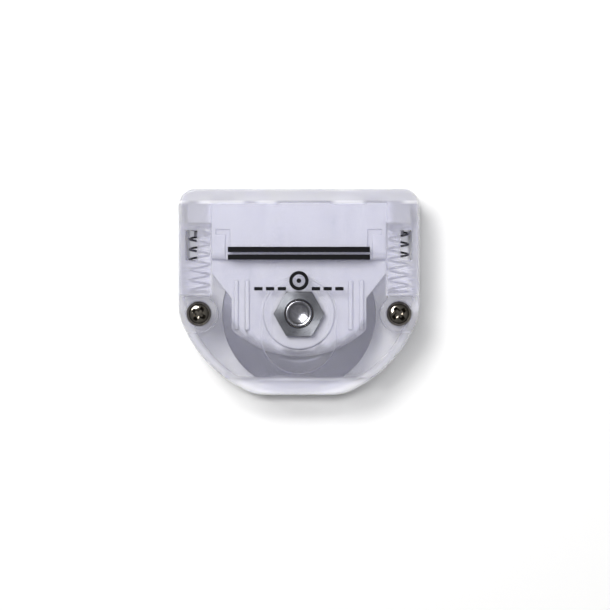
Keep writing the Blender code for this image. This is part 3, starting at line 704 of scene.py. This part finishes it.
def return_spring(word, hand):
    node = f"spring_{word}"
    low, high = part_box(node)
    centre = middle(node)
    wire = 0.2 * MM
    radius = (high[0] - low[0]) / 2 - wire
    turns = 6
    end_pitch = 0.5 * MM
    steps = 28
    first = low[1] + wire
    last = high[1] - wire
    pitch = (last - first - 2 * end_pitch) / turns
    points = []
    for n in range((turns + 2) * steps + 1):
        turn = n / steps
        open_turns = min(max(turn - 1, 0), turns)
        y = first + end_pitch * (turn - open_turns) + pitch * open_turns
        angle = hand * math.tau * turn + math.pi
        points.append(Vector((centre.x + radius * math.cos(angle), y, centre.z + radius * math.sin(angle))))
    piece = mesh_piece(f"{node}_coil", tube(points, wire))
    finish_piece(piece, WIRE, "casing", [node])
    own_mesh(piece)


return_spring("left", hand=1)
return_spring("right", hand=-1)


# ---------------------------------------------------------------- print on the front face

INK_DEPTH = 0.03 * MM
BAR_HALF = 12.8 * MM        # half the bars' length
BARS = ((12.06 * MM, 11.10 * MM, "upper"), (10.67 * MM, 9.74 * MM, "lower"))    # from the axle
MARK_BASE = 4.2 * MM        # foot of the sign, above the axle
MARK_HALF = 8.05 * MM
STROKE = 0.62 * MM


def printed(name, bm):
    finish_piece(mesh_piece(name, bm, smooth=False), INK, "casing")


def strip(x_low, x_high, y_low, y_high):
    corners = ((x_low, y_low), (x_high, y_low), (x_high, y_high), (x_low, y_high))
    outline = [(AXLE.x + x, AXLE.y + y) for x, y in corners]
    return prism(outline, FACE_Z, FACE_Z + INK_DEPTH)


def printed_bars():
    for top, low, word in BARS:
        printed(f"printed_bar_{word}", strip(-BAR_HALF, BAR_HALF, low, top))


def printed_mark():
    """A plain sign for a wheel that runs along a dashed line."""
    dashes = 3
    ring_radius = 1.75 * MM
    hub_radius = 0.42 * MM
    clear = ring_radius + 0.55 * MM
    gap = 0.6 * MM
    length = (MARK_HALF - clear - gap * (dashes - 1)) / dashes
    for side, word in ((-1, "left"), (1, "right")):
        for n in range(dashes):
            start = clear + n * (length + gap)
            ends = sorted((side * start, side * (start + length)))
            printed(f"printed_dash_{word}_{n}", strip(*ends, MARK_BASE, MARK_BASE + STROKE))
    centre = Vector((AXLE.x, AXLE.y + MARK_BASE + ring_radius))
    for name, inner, outer in (("ring", ring_radius - STROKE, ring_radius), ("hub", 0.0, hub_radius)):
        top = FACE_Z + INK_DEPTH
        profile = [(inner, FACE_Z), (outer, FACE_Z), (outer, top), (inner, top)]
        printed(f"printed_{name}", turned(profile, 64, centre))


printed_bars()
printed_mark()


# ---------------------------------------------------------------- table, camera and light

TABLE_RADIUS = 0.34
TABLE_BELOW = 0.05 * MM     # keeps the table off the casing's back face
TABLE_WHITE = (0.95, 0.95, 0.95, 1)
TABLE_ROUGHNESS = 0.8
TABLE_SPECULAR = 0.1
VIEW_WIDTH = 109.8 * MM     # what the camera sees across, at the casing's front face
VIEW_CENTRE = (1.1 * MM, -2.4 * MM, 0)
VIEW_DISTANCE = 0.62
SENSOR = 36
CLIP_START = 0.01
EVEN_LIGHT = 0.06
ROOM_DARK, ROOM_PALE = 0.02, 0.34
ROOM_RISE = (0.55, 1.0)


def stage_floor():
    bm = bmesh.new()
    turns = [math.tau * n / FINE_TURNS for n in range(FINE_TURNS)]
    round_table = [(TABLE_RADIUS * math.cos(t), TABLE_RADIUS * math.sin(t), -TABLE_BELOW) for t in turns]
    bm.faces.new([bm.verts.new(point) for point in round_table])
    table = mesh_piece("table", bm, smooth=False)
    material, tree, shader = new_material("table_white")
    shader.inputs["Base Color"].default_value = TABLE_WHITE
    shader.inputs["Roughness"].default_value = TABLE_ROUGHNESS
    shader.inputs["Specular IOR Level"].default_value = TABLE_SPECULAR
    table.data.materials.append(material)


def area_light(name, place, size, power, colour, mirrored=True):
    """A softbox aimed at the casing. One that isn't mirrored gives light but no reflection of itself."""
    data = bpy.data.lights.new(name, "AREA")
    data.shape = "RECTANGLE"
    data.size = size[0]
    data.size_y = size[1]
    data.energy = power
    data.color = colour
    light = bpy.data.objects.new(name, data)
    bpy.context.collection.objects.link(light)
    light.location = place
    light.rotation_euler = Vector(place).to_track_quat("Z", "Y").to_euler()
    light.visible_glossy = mirrored


def camera():
    data = bpy.data.cameras.new("camera")
    data.sensor_width = SENSOR
    data.lens = SENSOR * (VIEW_DISTANCE - FACE_Z) / VIEW_WIDTH
    data.clip_start = CLIP_START
    cam = bpy.data.objects.new("camera", data)
    bpy.context.collection.objects.link(cam)
    cam.location = Vector(VIEW_CENTRE) + Vector((0, 0, VIEW_DISTANCE))
    bpy.context.scene.camera = cam


def studio():
    """Faint light all round, a dark room with a pale ceiling for polished metal to mirror, and a
    white backdrop."""
    world = bpy.data.worlds.new("studio")
    bpy.context.scene.world = world
    world.use_nodes = True
    tree = world.node_tree
    even = tree.nodes["Background"]
    even.inputs["Color"].default_value = (1, 1, 1, 1)
    even.inputs["Strength"].default_value = EVEN_LIGHT
    room = tree.nodes.new("ShaderNodeBackground")
    place = tree.nodes.new("ShaderNodeTexCoord")
    height = axis_value(tree, place.outputs["Generated"], "Z")
    tree.links.new(ramp(tree, height, ROOM_DARK, ROOM_PALE, *ROOM_RISE), room.inputs["Color"])
    paths = tree.nodes.new("ShaderNodeLightPath")
    mix = tree.nodes.new("ShaderNodeMixShader")
    tree.links.new(paths.outputs["Is Glossy Ray"], mix.inputs["Fac"])
    tree.links.new(even.outputs["Background"], mix.inputs[1])
    tree.links.new(room.outputs["Background"], mix.inputs[2])
    backdrop = tree.nodes.new("ShaderNodeBackground")
    backdrop.inputs["Color"].default_value = (1, 1, 1, 1)
    behind = tree.nodes.new("ShaderNodeMixShader")
    tree.links.new(paths.outputs["Is Camera Ray"], behind.inputs["Fac"])
    tree.links.new(mix.outputs["Shader"], behind.inputs[1])
    tree.links.new(backdrop.outputs["Background"], behind.inputs[2])
    tree.links.new(behind.outputs["Shader"], tree.nodes["World Output"].inputs["Surface"])
    area_light("key", (-0.20, 0.20, 0.64), (0.26, 0.26), 4.2, (1, 0.995, 0.985))
    area_light("fill", (0.22, 0.20, 0.62), (0.20, 0.20), 0.9, (0.97, 0.98, 1), mirrored=False)
    area_light("top", (0.0, 0.0, 0.75), (0.12, 0.12), 0.9, (1, 1, 1), mirrored=False)
    bpy.context.scene.view_settings.view_transform = "Standard"


stage_floor()
camera()
studio()
